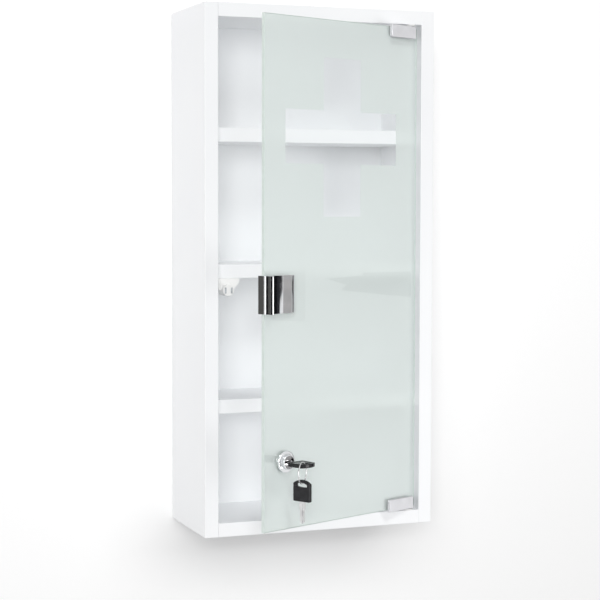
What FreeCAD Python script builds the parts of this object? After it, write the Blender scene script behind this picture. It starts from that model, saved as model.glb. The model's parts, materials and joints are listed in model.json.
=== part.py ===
import FreeCAD, Part
import math
import os

os.makedirs("parts", exist_ok=True)

V = FreeCAD.Vector
axis_x = V(1, 0, 0)
axis_y = V(0, 1, 0)
axis_z = V(0, 0, 1)

# Sizes in millimetres. The origin lies on the wall plane, midway between the two hanging holes.
# +X is to the right, +Y goes into the wall and +Z is up.

# Carcass
width = 280.0
height = 600.0
depth = 130.0
board = 16.0
edge_radius = 0.8
hanger_drop = 40.0

# Back panel in its groove
back_thickness = 3.0
back_inset = 8.0
groove_depth = 5.0
groove_clearance = 0.1
groove_end_gap = 0.5

# Shelves
shelf_spacing = 154.0
shelf_setback = 18.0

# Dowels
dowel_radius = 3.0
dowel_length = 30.0
dowel_in_side = 10.0
dowel_inset = 28.0
dowel_clearance = 0.05
dowel_end_gap = 0.5

# Hanging plates on the wall side
hanger_width = 13.0
hanger_thickness = 1.5
hanger_above = 28.0
hanger_below = 19.0
hanger_margin = 6.0
hanger_clearance = 0.1
keyhole_radius = 4.5
keyhole_slot = 4.4
keyhole_rise = 11.0
pocket_clearance = 0.7
pocket_depth = 5.5

# Wood screws
screw_radius = 1.75
screw_head_radius = 3.4
screw_length = 14.0
screw_clearance = 0.05
recess_arm = 1.9
recess_half = 0.35
recess_depth = 1.0

# Glass door and the frosted film behind it
glass_thickness = 4.0
glass_setback = 3.0
glass_arris = 0.4
gap_handle_side = 3.0
gap_hinge_side = 2.5
rest_angle = 23.2
film_thickness = 0.2
film_glue = 0.05
film_margin = 0.5
cross_span = 176.0
cross_bar = 59.0
cross_drop = 129.7

# Hinge clips, pins and bushes
pivot_inset = 9.5
clip_length = 40.5
clip_end = 6.5
clip_cover = 12.3
clip_bridge = 1.6
clip_edge_gap = 0.2
clip_front = 3.75
clip_back = 4.0
clip_corner = 2.0
clip_round = 0.5
pad_thickness = 0.75
pad_margin = 1.5
pin_radius = 2.5
pin_reach = 8.0
pin_fit = 0.05
pin_press = 0.02
collar_radius = 3.8
collar_height = 0.7
running_gap = 0.3
bush_wall = 1.5
bush_flange = 1.2
bush_flange_rim = 1.5
bush_end_gap = 1.0
bush_press = 0.05
set_screw_radius = 2.0
set_screw_socket = 1.0
set_screw_sink = 0.3
set_screw_fit = 0.05

# Handle
handle_height = 41.5
handle_plate = 44.0
handle_plate_thickness = 2.1
handle_web = 1.2
handle_back = 2.0
handle_back_reach = 27.0
handle_pad = 0.5
handle_pad_reach = 24.0
handle_lip = 16.0
handle_lip_thickness = 2.4
handle_curve_end = 30.0
handle_corner = 1.2
handle_shoulder = 1.2
handle_screw_radius = 1.5
handle_screw_in = 20.0
handle_screw_spread = 14.0

# Magnetic catch
catch_inset = 15.4
catch_drop = 13.3
catch_gap = 0.3
catch_radius = 6.6
catch_length = 22.0
catch_flange_half = 15.2
catch_flange_thickness = 2.5
catch_flange_depth = 18.0
catch_web = 6.0
catch_web_drop = 5.0
catch_web_flare = 1.5
catch_step = 0.5
catch_screw_half = 9.5
catch_screw_in = 12.5
catch_bevel = 0.6
catch_button_radius = 1.3
catch_button_height = 0.5
catch_button_out = 6.0
catch_button_up = 7.2
pole_thickness = 2.0
pole_height = 6.6
pole_proud = 0.4
pole_length = 12.0
magnet_width = 5.2
magnet_sink = 1.0

# Cam lock
lock_in = 31.7
lock_rise = 75.0
gasket = 0.6
gasket_rim = 0.5
rosette_radius = 12.0
rosette_thickness = 2.0
rosette_bevel = 1.0
collar_ring_radius = 8.25
collar_ring_front = 7.0
collar_ring_bevel = 0.5
stem_radius = 9.0
stem_behind = 9.0
stem_clearance = 0.5
nut_thickness = 3.5
nut_wall = 3.0
nut_fit = 0.05
plug_radius = 6.2
plug_head_radius = 7.2
plug_head = 1.5
plug_sink = 0.6
plug_fit = 0.06
plug_axial_gap = 0.2
tang_half = 3.5
tang_fit = 0.05
wafer_count = 5
wafer_pitch = 2.2
wafer_thickness = 1.0
wafer_fit = 0.05
wafer_half_width = 4.6
wafer_half_height = 2.5
wafer_first = 3.0
cam_width = 15.0
cam_thickness = 2.0
cam_bite = 7.2
cam_corner = 2.5
cam_boss = 8.5
cam_gap = 0.3
mortise_clearance = 1.2
cam_screw_radius = 1.9
cam_screw_head = 4.2
cam_screw_head_height = 2.0
cam_screw_grip = 3.0

# Keys
blade_width = 5.2
blade_thickness = 2.0
blade_length = 15.0
blade_play = 0.2
blade_tip = 1.6
bitting_count = 4
bitting_pitch = 2.8
bitting_depth = 0.7
blade_groove_half = 0.45
blade_groove_sink = 0.5
blade_groove_shift = 0.8
blade_groove_run = 2.0
shoulder_width = 7.0
shoulder_length = 8.6
shoulder_gap = 0.3
bow_tang_width = 5.0
bow_tang_length = 7.0
bow_tang_fit = 0.05
bow_width = 22.5
bow_length = 23.6
bow_thickness = 4.5
bow_bulge = 4.0
bow_inner_corner = 1.3
bow_round = 0.7
bow_end_land = 3.0
bow_slot_length = 12.5
bow_slot_width = 5.0
bow_panel_rim = 2.2
bow_panel_sink = 0.3

# Key ring
ring_radius = 11.5
ring_wire = 0.6
ring_turn = 24.4
ring_land_out = 2.8
ring_slack = 0.3
spare_twist = 17.0

# Derived planes
x_outer = width / 2
x_inner = x_outer - board
y_front = -depth
z_top = hanger_drop
z_bottom = hanger_drop - height
z_middle = (z_top + z_bottom) / 2
roof = z_top - board
floor = z_bottom + board
back_rear = -back_inset
back_front = back_rear - back_thickness
shelf_front = y_front + shelf_setback
shelf_levels = [z_middle + shelf_spacing, z_middle, z_middle - shelf_spacing]
shelf_names = ["upper_shelf", "middle_shelf", "lower_shelf"]
hanger_x = x_outer - board / 2

door_gap = clip_edge_gap + clip_bridge + collar_height + running_gap + bush_flange
glass_left = -x_inner + gap_handle_side
glass_right = x_inner - gap_hinge_side
glass_bottom = floor + door_gap
glass_top = roof - door_gap
glass_front = y_front + glass_setback
glass_back = glass_front + glass_thickness
film_front = glass_back + film_glue
film_back = film_front + film_thickness
pivot_x = glass_right - pivot_inset
pivot_y = (glass_front + glass_back) / 2
glass_mid = (glass_top + glass_bottom) / 2
bush_radius = pin_radius + pin_fit + bush_wall

handle_z = z_middle - board / 2 - catch_drop
handle_rear = film_back + handle_pad + handle_back
catch_x = -x_inner + catch_inset
catch_face = handle_rear + catch_gap

lock_x = glass_left + lock_in
lock_z = glass_bottom + lock_rise
plug_face = glass_front - collar_ring_front + plug_sink
plug_shoulder = plug_face + plug_head
lock_rear = film_back + stem_behind
cam_front = lock_rear + cam_gap
cam_rear = cam_front + cam_thickness
cam_reach = lock_x + x_inner + cam_bite

key_seat = plug_face - shoulder_gap
bow_slot_y = key_seat - shoulder_length - bow_length + bow_end_land + bow_slot_width / 2

ring_cos = math.cos(math.radians(ring_turn))
ring_sin = math.sin(math.radians(ring_turn))
ring_along = V(-ring_cos, -ring_sin, 0)
ring_axis = V(ring_sin, -ring_cos, 0)
land_side = (bow_slot_length + bow_width) / 4
land_half = (bow_width - bow_slot_length) / 4
ring_drop = ring_radius - ring_wire - ring_slack - math.hypot(land_half / ring_cos, bow_thickness / 2)
ring_land = V(lock_x - land_side, bow_slot_y - ring_land_out, lock_z)
ring_centre = ring_land - axis_z * ring_drop
ring_bottom = ring_centre - axis_z * ring_radius
wire_rise = ring_radius - math.sqrt(ring_radius ** 2 - (bow_thickness / 2) ** 2)
spare_hang = bow_slot_width / 2 - ring_wire - ring_slack - wire_rise
spare_place = ring_bottom - axis_z * spare_hang


def block(x0, x1, y0, y1, z0, z1):
    return Part.makeBox(x1 - x0, y1 - y0, z1 - z0, V(x0, y0, z0))


def prism(points, path):
    wire = Part.makePolygon(points + [points[0]])
    return Part.Face(wire).extrude(path)


def fuse_all(shapes):
    return shapes[0].fuse(shapes[1:]).removeSplitter()


def edges_along(shape, direction):
    found = []
    for edge in shape.Edges:
        run = edge.Vertexes[-1].Point - edge.Vertexes[0].Point
        if run.Length > 0 and run.cross(direction).Length < 1e-6:
            found.append(edge)
    return found


def hexagon(centre, half_flats, path):
    corners = []
    corner_radius = half_flats / math.cos(math.radians(30))
    for step in range(6):
        angle = math.radians(60 * step)
        corners.append(centre + V(corner_radius * math.cos(angle), 0, corner_radius * math.sin(angle)))
    return prism(corners, path)


def mirrored_below(shape):
    return shape.mirror(V(0, 0, glass_mid), axis_z)


def ajar(shape):
    turned = shape.copy()
    turned.rotate(V(pivot_x, pivot_y, 0), axis_z, rest_angle)
    return turned


def save(name, shape):
    shape.exportStep("parts/" + name + ".step")


# Screws

def screw_body(start, direction, head_height, grow):
    head = Part.makeCone(screw_head_radius + grow, screw_radius + grow, head_height, start, direction)
    shank_start = start + direction * head_height
    shank = Part.makeCylinder(screw_radius + grow, screw_length - head_height + grow, shank_start, direction)
    return fuse_all([head, shank])


def wood_screw(start, direction, head_height):
    screw = screw_body(start, direction, head_height, 0.0)
    side = direction.cross(axis_x)
    for u, v in ((axis_x, side), (side, axis_x)):
        long_way = u * recess_arm
        short_way = v * recess_half
        corners = [start + long_way + short_way, start - long_way + short_way]
        corners += [start - long_way - short_way, start + long_way - short_way]
        screw = screw.cut(prism(corners, direction * recess_depth))
    return screw


def screw_void(start, direction, head_height):
    return screw_body(start, direction, head_height, screw_clearance)


def grub_screw(x, z, radius, rear, front):
    body = Part.makeCylinder(radius, rear - front, V(x, front, z), axis_y)
    socket = hexagon(V(x, rear, z), radius * set_screw_socket / 2, V(0, -(rear - front) / 2, 0))
    return body.cut(socket)


# Dowels

def dowel(side, y, z, grow, ends):
    start = V(side * (x_inner + dowel_in_side + ends), y, z)
    return Part.makeCylinder(dowel_radius + grow, dowel_length + 2 * ends, start, axis_x * -side)


def carcass_dowel_places():
    places = []
    for side in (-1, 1):
        for z in (z_top - board / 2, z_bottom + board / 2):
            for y in (y_front + dowel_inset, -dowel_inset):
                places.append((side, y, z))
    return places


def shelf_dowel_places():
    places = []
    for side in (-1, 1):
        for z in shelf_levels:
            for y in (shelf_front + dowel_inset, back_front - dowel_inset):
                places.append((side, y, z))
    return places


def dowels(places):
    return Part.makeCompound([dowel(side, y, z, 0.0, 0.0) for side, y, z in places])


def drilled(panel, places):
    holes = [dowel(side, y, z, dowel_clearance, dowel_end_gap) for side, y, z in places]
    return panel.cut(Part.makeCompound(holes))


# Hanging plates

def keyhole(x, radius, slot_half, y0, y1):
    way = V(0, y1 - y0, 0)
    entry = Part.makeCylinder(radius, y1 - y0, V(x, y0, 0), axis_y)
    slot = block(x - slot_half, x + slot_half, y0, y1, 0, keyhole_rise)
    end = Part.makeCylinder(slot_half, way.Length, V(x, y0, keyhole_rise), axis_y)
    return fuse_all([entry, slot, end])


def hanger_screw_places(side):
    x = side * hanger_x
    return [V(x, 0, hanger_above - hanger_margin), V(x, 0, -hanger_below + hanger_margin)]


def hanger_plate(side):
    x = side * hanger_x
    half = hanger_width / 2
    plate = block(x - half, x + half, -hanger_thickness, 0, -hanger_below, hanger_above)
    plate = plate.cut(keyhole(x, keyhole_radius, keyhole_slot / 2, -hanger_thickness, 0))
    for place in hanger_screw_places(side):
        plate = plate.cut(screw_void(place, -axis_y, hanger_thickness))
    return plate


def hanger_recess(side):
    x = side * hanger_x
    half = hanger_width / 2 + hanger_clearance
    low = -hanger_below - hanger_clearance
    high = hanger_above + hanger_clearance
    recess = block(x - half, x + half, -hanger_thickness, board, low, high)
    pocket_radius = keyhole_radius + pocket_clearance
    pocket = keyhole(x, pocket_radius, pocket_radius, -hanger_thickness - pocket_depth, 0)
    screws = [screw_void(place, -axis_y, hanger_thickness) for place in hanger_screw_places(side)]
    return fuse_all([recess, pocket] + screws)


# Carcass

def back_groove(half_width, low, high):
    return block(-half_width, half_width, back_front - groove_clearance, back_rear + groove_clearance, low, high)


def side_panel(side):
    x0 = min(side * x_inner, side * x_outer)
    panel = block(x0, x0 + board, y_front, 0, z_bottom, z_top)
    panel = panel.makeFillet(edge_radius, panel.Edges)
    panel = panel.cut(back_groove(x_inner + groove_depth, floor - groove_depth, roof + groove_depth))
    panel = drilled(panel, carcass_dowel_places() + shelf_dowel_places())
    return panel.cut(hanger_recess(side))


def cam_mortise():
    wall = lock_x + x_inner
    sweep = math.hypot(cam_reach, cam_width / 2)
    dip = math.sqrt(sweep ** 2 - wall ** 2)
    low = lock_z - dip - mortise_clearance
    high = lock_z + cam_width / 2 + mortise_clearance
    deep = lock_x - sweep - mortise_clearance
    return block(deep, glass_left, cam_front - mortise_clearance, cam_rear + mortise_clearance, low, high)


def left_side_panel():
    return side_panel(-1).cut(cam_mortise())


def cross_board(y0, y1, z0, places):
    panel = block(-x_inner, x_inner, y0, y1, z0, z0 + board)
    panel = panel.makeFillet(edge_radius, edges_along(panel, axis_x))
    return drilled(panel, places)


def bush_hole():
    length = pin_reach + bush_end_gap + bush_press
    return Part.makeCylinder(bush_radius + bush_press, length, V(pivot_x, pivot_y, roof), axis_z)


def top_panel():
    panel = cross_board(y_front, 0, roof, carcass_dowel_places())
    panel = panel.cut(back_groove(x_inner + board, roof - board, roof + groove_depth))
    return panel.cut(bush_hole())


def bottom_panel():
    panel = cross_board(y_front, 0, z_bottom, carcass_dowel_places())
    panel = panel.cut(back_groove(x_inner + board, floor - groove_depth, floor + board))
    return panel.cut(mirrored_below(bush_hole()))


def back_panel():
    reach = groove_depth - groove_end_gap
    return block(-x_inner - reach, x_inner + reach, back_front, back_rear, floor - reach, roof + reach)


def shelf(level):
    return cross_board(shelf_front, back_front, level - board / 2, shelf_dowel_places())


def middle_shelf():
    panel = shelf(z_middle)
    for place in catch_screw_places():
        panel = panel.cut(screw_void(place, axis_z, catch_flange_thickness))
    return panel


# Hinges, drawn for the upper corner

def hinge_bush():
    body = Part.makeCylinder(bush_radius, pin_reach + bush_end_gap, V(pivot_x, pivot_y, roof), axis_z)
    rim_start = V(pivot_x, pivot_y, roof - bush_flange)
    rim = Part.makeCylinder(bush_radius + bush_flange_rim, bush_flange, rim_start, axis_z)
    bore_length = pin_reach + bush_end_gap + bush_flange
    bore = Part.makeCylinder(pin_radius + pin_fit, bore_length, rim_start, axis_z)
    return fuse_all([body, rim]).cut(bore)


def hinge_pin():
    start = V(pivot_x, pivot_y, glass_top + clip_edge_gap)
    length = roof + pin_reach - glass_top - clip_edge_gap
    pin = Part.makeCylinder(pin_radius, length, start, axis_z)
    collar_start = start + axis_z * clip_bridge
    collar = Part.makeCylinder(collar_radius, collar_height, collar_start, axis_z)
    return fuse_all([pin, collar])


def clip_screw_places():
    near = glass_right - clip_end - clip_length / 4
    far = glass_right - clip_end - clip_length * 3 / 4
    z = glass_top - clip_cover / 2
    return [(near, z), (far, z)]


def hinge_clip():
    x1 = glass_right - clip_end
    x0 = x1 - clip_length
    front = glass_front - pad_thickness - clip_front
    rear = film_back + pad_thickness + clip_back
    low = glass_top - clip_cover
    under = glass_top + clip_edge_gap
    body = block(x0, x1, front, rear, low, under + clip_bridge)
    corners = [edge for edge in edges_along(body, axis_y) if edge.CenterOfMass.z < glass_top]
    corners = [edge for edge in corners if edge.CenterOfMass.x < x0 + clip_corner]
    body = body.makeFillet(clip_corner, corners)
    rims = [edge for edge in body.Edges if edge.BoundBox.YMax < front + clip_round]
    body = body.makeFillet(clip_round, rims)
    channel = block(x0 - 1, x1 + 1, glass_front - pad_thickness, film_back + pad_thickness, low - 1, under)
    body = body.cut(channel)
    hole = Part.makeCylinder(pin_radius + pin_press, clip_bridge, V(pivot_x, pivot_y, under), axis_z)
    body = body.cut(hole)
    for x, z in clip_screw_places():
        tap = Part.makeCylinder(set_screw_radius + set_screw_fit, rear - film_back, V(x, film_back, z), axis_y)
        body = body.cut(tap)
    return body


def clip_pads():
    x1 = glass_right - clip_end - pad_margin
    x0 = x1 - clip_length + 2 * pad_margin
    low = glass_top - clip_cover + pad_margin
    front = block(x0, x1, glass_front - pad_thickness, glass_front, low, glass_top)
    rear = block(x0, x1, film_back, film_back + pad_thickness, low, glass_top - film_margin)
    return [front, rear]


def clip_set_screws():
    front = film_back + pad_thickness
    rear = front + clip_back - set_screw_sink
    return [grub_screw(x, z, set_screw_radius, rear, front) for x, z in clip_screw_places()]


def both_ends(shapes):
    return Part.makeCompound(shapes + [mirrored_below(shape) for shape in shapes])


# Glass door

def lock_bore(radius):
    return Part.makeCylinder(radius, lock_rear - glass_front, V(lock_x, glass_front, lock_z), axis_y)


def glass_door():
    plate = block(glass_left, glass_right, glass_front, glass_back, glass_bottom, glass_top)
    plate = plate.makeFillet(glass_arris, plate.Edges)
    return plate.cut(lock_bore(stem_radius + stem_clearance))


def cross_window(y0, y1):
    x = (glass_left + glass_right) / 2
    z = glass_top - cross_drop
    arm = cross_span / 2
    bar = cross_bar / 2
    across = block(x - arm, x + arm, y0, y1, z - bar, z + bar)
    upright = block(x - bar, x + bar, y0, y1, z - arm, z + arm)
    return fuse_all([across, upright])


def frosted_film():
    x0 = glass_left + film_margin
    x1 = glass_right - film_margin
    z0 = glass_bottom + film_margin
    z1 = glass_top - film_margin
    sheet = block(x0, x1, film_front, film_back, z0, z1)
    sheet = sheet.cut(cross_window(film_front, film_back))
    return sheet.cut(lock_bore(stem_radius + stem_clearance))


# Handle

def handle_point(inward, outward):
    return V(glass_left + inward, glass_front - outward, handle_z - handle_height / 2)


def handle_outline():
    web_in = -handle_pad
    web_out = web_in - handle_web
    back_in = -(film_back - glass_front) - handle_pad
    back_out = back_in - handle_back
    plate_out = handle_pad + handle_plate_thickness
    lip_right = web_in + handle_lip_thickness
    crest = handle_lip_thickness / 2
    crest_base = handle_lip - crest
    run = handle_curve_end - lip_right
    rise = crest_base - plate_out
    bend = (run ** 2 + rise ** 2) / (2 * rise)
    half = math.asin(run / bend) / 2
    curve_mid = handle_point(handle_curve_end - bend * math.sin(half), plate_out + bend - bend * math.cos(half))
    shoulder = min(handle_shoulder, handle_web)
    shoulder_mid = handle_point(web_in - shoulder * math.sqrt(0.5), plate_out + shoulder * math.sqrt(0.5))
    flats = [(web_in - shoulder, plate_out), (web_out, plate_out), (web_out, back_out)]
    flats += [(handle_back_reach, back_out), (handle_back_reach, back_in), (web_in, back_in)]
    flats += [(web_in, handle_pad), (handle_plate, handle_pad), (handle_plate, plate_out)]
    flats += [(handle_curve_end, plate_out)]
    points = [handle_point(inward, outward) for inward, outward in flats]
    edges = []
    for first, second in zip(points[:-1], points[1:]):
        if (second - first).Length > 1e-6:
            edges.append(Part.makeLine(first, second))
    curve_top = handle_point(lip_right, crest_base)
    crest_mid = handle_point(web_in + crest, handle_lip)
    crest_left = handle_point(web_in, crest_base)
    shoulder_top = handle_point(web_in, plate_out + shoulder)
    edges.append(Part.Arc(points[-1], curve_mid, curve_top).toShape())
    edges.append(Part.Arc(curve_top, crest_mid, crest_left).toShape())
    edges.append(Part.makeLine(crest_left, shoulder_top))
    edges.append(Part.Arc(shoulder_top, shoulder_mid, points[0]).toShape())
    return Part.Wire(edges)


def handle_blank():
    reach = handle_plate + handle_pad + handle_web
    low = handle_z - handle_height / 2
    blank = block(-reach, handle_plate, -handle_lip, handle_lip, low, low + handle_height)
    corners = [edge for edge in edges_along(blank, axis_y) if edge.CenterOfMass.x > 0]
    blank = blank.makeFillet(handle_corner, corners)
    blank.translate(V(glass_left, glass_front, 0))
    return blank


def handle_screw_places():
    x = glass_left + handle_screw_in
    return [(x, handle_z - handle_screw_spread), (x, handle_z + handle_screw_spread)]


def handle():
    body = Part.Face(handle_outline()).extrude(axis_z * handle_height)
    body = body.common(handle_blank())
    for x, z in handle_screw_places():
        length = handle_rear - film_back
        tap = Part.makeCylinder(handle_screw_radius + set_screw_fit, length, V(x, film_back, z), axis_y)
        body = body.cut(tap)
    return body


def handle_pads():
    x0 = glass_left + film_margin
    x1 = x0 + handle_pad_reach
    low = handle_z - handle_height / 2 + film_margin
    high = handle_z + handle_height / 2 - film_margin
    front = block(x0, x1, glass_front - handle_pad, glass_front, low, high)
    rear = block(x0, x1, film_back, film_back + handle_pad, low, high)
    return Part.makeCompound([front, rear])


def handle_set_screws():
    front = film_back + handle_pad
    rear = handle_rear - set_screw_sink
    screws = [grub_screw(x, z, handle_screw_radius, rear, front) for x, z in handle_screw_places()]
    return Part.makeCompound(screws)


# Magnetic catch

def catch_screw_places():
    y = shelf_front + catch_step + catch_screw_in
    z = z_middle - board / 2 - catch_flange_thickness
    return [V(catch_x - catch_screw_half, y, z), V(catch_x + catch_screw_half, y, z)]


def catch_core_rear():
    return catch_face + pole_length


def catch_body():
    under = z_middle - board / 2
    y0 = shelf_front + catch_step
    x0 = catch_x - catch_flange_half
    x1 = catch_x + catch_flange_half
    flange = block(x0, x1, y0, y0 + catch_flange_depth, under - catch_flange_thickness, under)
    foot = catch_radius + catch_web_flare
    shield = [(x0, under), (x1, under), (x1, under - catch_web_drop), (catch_x + foot, handle_z)]
    shield += [(catch_x - foot, handle_z), (x0, under - catch_web_drop)]
    web = prism([V(x, y0, z) for x, z in shield], V(0, catch_web, 0))
    buttons = []
    for x in (catch_x - catch_button_out, catch_x + catch_button_out):
        place = V(x, y0 - catch_button_height, handle_z + catch_button_up)
        buttons.append(Part.makeCylinder(catch_button_radius, catch_button_height + catch_step, place, axis_y))
    start = V(catch_x, catch_face + pole_proud, handle_z)
    barrel = Part.makeCylinder(catch_radius, catch_length, start, axis_y)
    barrel = barrel.makeChamfer(catch_bevel, [barrel.Edges[0], barrel.Edges[2]])
    body = fuse_all([flange, web, barrel] + buttons)
    body = body.cut(catch_magnet()).cut(catch_poles())
    for place in catch_screw_places():
        body = body.cut(screw_void(place, axis_z, catch_flange_thickness))
    return body


def catch_magnet():
    half = magnet_width / 2
    y0 = catch_face + pole_proud + magnet_sink
    z0 = handle_z - pole_height / 2
    return block(catch_x - half, catch_x + half, y0, catch_core_rear(), z0, z0 + pole_height)


def catch_poles():
    strips = []
    z0 = handle_z - pole_height / 2
    for x in (catch_x - magnet_width / 2 - pole_thickness, catch_x + magnet_width / 2):
        strips.append(block(x, x + pole_thickness, catch_face, catch_core_rear(), z0, z0 + pole_height))
    return Part.makeCompound(strips)


def catch_screws():
    screws = [wood_screw(place, axis_z, catch_flange_thickness) for place in catch_screw_places()]
    return Part.makeCompound(screws)


# Cam lock

def lock_disc(radius, y0, y1):
    return Part.makeCylinder(radius, y1 - y0, V(lock_x, y0, lock_z), axis_y)


def lock_body():
    seat = glass_front - gasket
    face = seat - rosette_thickness
    ring_face = glass_front - collar_ring_front
    rosette = Part.makeCone(rosette_radius, rosette_radius - rosette_bevel, rosette_thickness,
                            V(lock_x, seat, lock_z), -axis_y)
    ring = lock_disc(collar_ring_radius, ring_face + collar_ring_bevel, face)
    rim = Part.makeCone(collar_ring_radius, collar_ring_radius - collar_ring_bevel, collar_ring_bevel,
                        V(lock_x, ring_face + collar_ring_bevel, lock_z), -axis_y)
    stem = lock_disc(stem_radius, seat, lock_rear)
    body = fuse_all([rosette, ring, rim, stem])
    body = body.cut(lock_disc(plug_radius + plug_fit, ring_face, lock_rear))
    return body.cut(lock_disc(plug_head_radius + plug_fit, ring_face, plug_shoulder + plug_axial_gap))


def lock_gaskets():
    inner = stem_radius + nut_fit
    outer = rosette_radius - gasket_rim
    front = lock_disc(outer, glass_front - gasket, glass_front).cut(lock_bore_back(inner))
    rear = lock_disc(outer, film_back, film_back + gasket).cut(lock_bore_back(inner))
    return Part.makeCompound([front, rear])


def lock_bore_back(radius):
    return lock_disc(radius, glass_front - gasket, lock_rear)


def lock_nut():
    start = V(lock_x, film_back + gasket, lock_z)
    nut = hexagon(start, stem_radius + nut_wall, V(0, nut_thickness, 0))
    return nut.cut(lock_bore_back(stem_radius + nut_fit))


def wafer_places():
    return [plug_shoulder + wafer_first + step * wafer_pitch for step in range(wafer_count)]


def wafer_block(y, half_width, half_height, thickness):
    half = thickness / 2
    return block(lock_x - half_width, lock_x + half_width, y - half, y + half,
                 lock_z - half_height, lock_z + half_height)


def keyway():
    half = blade_width / 2 + blade_play
    high = blade_thickness / 2 + blade_play
    rear = plug_face + blade_length + blade_play
    return block(lock_x - half, lock_x + half, plug_face, rear, lock_z - high, lock_z + high)


def lock_barrel():
    head = lock_disc(plug_head_radius, plug_face, plug_shoulder)
    shaft = lock_disc(plug_radius, plug_shoulder, cam_front)
    tang = block(lock_x - tang_half, lock_x + tang_half, cam_front, cam_rear, lock_z - tang_half, lock_z + tang_half)
    barrel = fuse_all([head, shaft, tang]).cut(keyway())
    for y in wafer_places():
        room = wafer_thickness + 2 * wafer_fit
        barrel = barrel.cut(wafer_block(y, wafer_half_width + wafer_fit, wafer_half_height + wafer_fit, room))
    return barrel.cut(lock_disc(cam_screw_radius + screw_clearance, cam_front - cam_screw_grip, cam_rear))


def lock_wafers():
    wafers = []
    for y in wafer_places():
        plate = wafer_block(y, wafer_half_width, wafer_half_height, wafer_thickness)
        wafers.append(plate.cut(keyway()))
    return Part.makeCompound(wafers)


def lock_cam():
    half = cam_width / 2
    tip = lock_z - cam_reach
    outline = [(-half, lock_z), (-half, tip + cam_corner), (cam_corner - half, tip)]
    outline += [(half - cam_corner, tip), (half, tip + cam_corner), (half, lock_z)]
    bar = prism([V(lock_x + x, cam_front, z) for x, z in outline], V(0, cam_thickness, 0))
    boss = lock_disc(cam_boss, cam_front, cam_rear)
    square = tang_half + tang_fit
    hole = block(lock_x - square, lock_x + square, cam_front, cam_rear, lock_z - square, lock_z + square)
    return fuse_all([bar, boss]).cut(hole)


def cam_screw():
    head = lock_disc(cam_screw_head, cam_rear, cam_rear + cam_screw_head_height)
    shank = lock_disc(cam_screw_radius, cam_front - cam_screw_grip + screw_clearance, cam_rear)
    screw = fuse_all([head, shank])
    slot = block(lock_x - cam_screw_head, lock_x + cam_screw_head, cam_rear + cam_screw_head_height / 2,
                 cam_rear + cam_screw_head_height, lock_z - recess_half, lock_z + recess_half)
    return screw.cut(slot)


# Keys, drawn flat with the ring slot at the origin and the blade along +Y

def bow_inner():
    return bow_length - bow_end_land - bow_slot_width / 2


def bow_tang(grow):
    half = bow_tang_width / 2 + grow
    high = blade_thickness / 2 + grow
    inner = bow_inner()
    return block(-half, half, inner - bow_tang_length - grow, inner, -high, high)


def key_blade():
    half_thick = blade_thickness / 2
    inner = bow_inner()
    seat = inner + shoulder_length
    tip = seat + blade_length
    half = blade_width / 2
    wide = shoulder_width / 2
    shoulder = block(-wide, wide, inner, seat, -half_thick, half_thick)
    outline = [(-half, seat), (half, seat), (half, tip - blade_tip), (half - blade_tip, tip)]
    outline += [(blade_tip - half, tip), (-half, tip - blade_tip)]
    shank = prism([V(x, y, -half_thick) for x, y in outline], V(0, 0, blade_thickness))
    for step in range(bitting_count):
        y = seat + bitting_pitch * (step + 1)
        notch = [V(half, y - bitting_depth, -half_thick), V(half - bitting_depth, y, -half_thick)]
        notch += [V(half, y + bitting_depth, -half_thick)]
        shank = shank.cut(prism(notch, V(0, 0, blade_thickness)))
    blade = fuse_all([shoulder, shank, bow_tang(0.0)])
    for side in (-1, 1):
        x = -side * blade_groove_shift
        z0, z1 = sorted((side * half_thick, side * (half_thick - blade_groove_sink)))
        groove = block(x - blade_groove_half, x + blade_groove_half, seat - blade_groove_run, tip, z0, z1)
        blade = blade.cut(groove)
    return blade


def key_head():
    half = bow_width / 2
    low = -bow_thickness / 2
    outer = bow_inner() - bow_length
    inner = bow_inner()
    side = outer + bow_bulge
    corner = bow_inner_corner
    rim = Part.Arc(V(-half, side, low), V(0, outer, low), V(half, side, low)).toShape()
    path = [V(half, side, low), V(half, inner - corner, low), V(half - corner, inner, low)]
    path += [V(corner - half, inner, low), V(-half, inner - corner, low), V(-half, side, low)]
    edges = [rim] + [Part.makeLine(first, second) for first, second in zip(path[:-1], path[1:])]
    bow = Part.Face(Part.Wire(edges)).extrude(V(0, 0, bow_thickness))
    rims = [edge for edge in bow.Edges if edge.BoundBox.ZLength < bow_thickness / 2]
    bow = bow.makeFillet(bow_round, rims)
    end_radius = bow_slot_width / 2
    reach = bow_slot_length / 2 - end_radius
    slot = block(-reach, reach, -end_radius, end_radius, low, -low)
    ends = [Part.makeCylinder(end_radius, bow_thickness, V(x, 0, low), axis_z) for x in (-reach, reach)]
    bow = bow.cut(fuse_all([slot] + ends))
    panel_half = half - bow_panel_rim
    panel_low = end_radius + bow_panel_rim
    panel_high = inner - bow_panel_rim
    for z0 in (low, -low - bow_panel_sink):
        panel = block(-panel_half, panel_half, panel_low, panel_high, z0, z0 + bow_panel_sink)
        bow = bow.cut(panel.makeFillet(bow_inner_corner, edges_along(panel, axis_z)))
    return bow.cut(bow_tang(bow_tang_fit))


def in_lock(shape):
    placed = shape.copy()
    placed.translate(V(lock_x, bow_slot_y, lock_z))
    return placed


def on_ring(shape):
    placed = shape.copy()
    normal = ring_axis.cross(-axis_z)
    placed.Placement = FreeCAD.Placement(spare_place, FreeCAD.Rotation(ring_axis, -axis_z, normal, "XYZ"))
    placed.rotate(spare_place, axis_z, -spare_twist)
    return placed


def key_ring():
    return Part.makeTorus(ring_radius, ring_wire, ring_centre, ring_axis)


# Cabinet body

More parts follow.
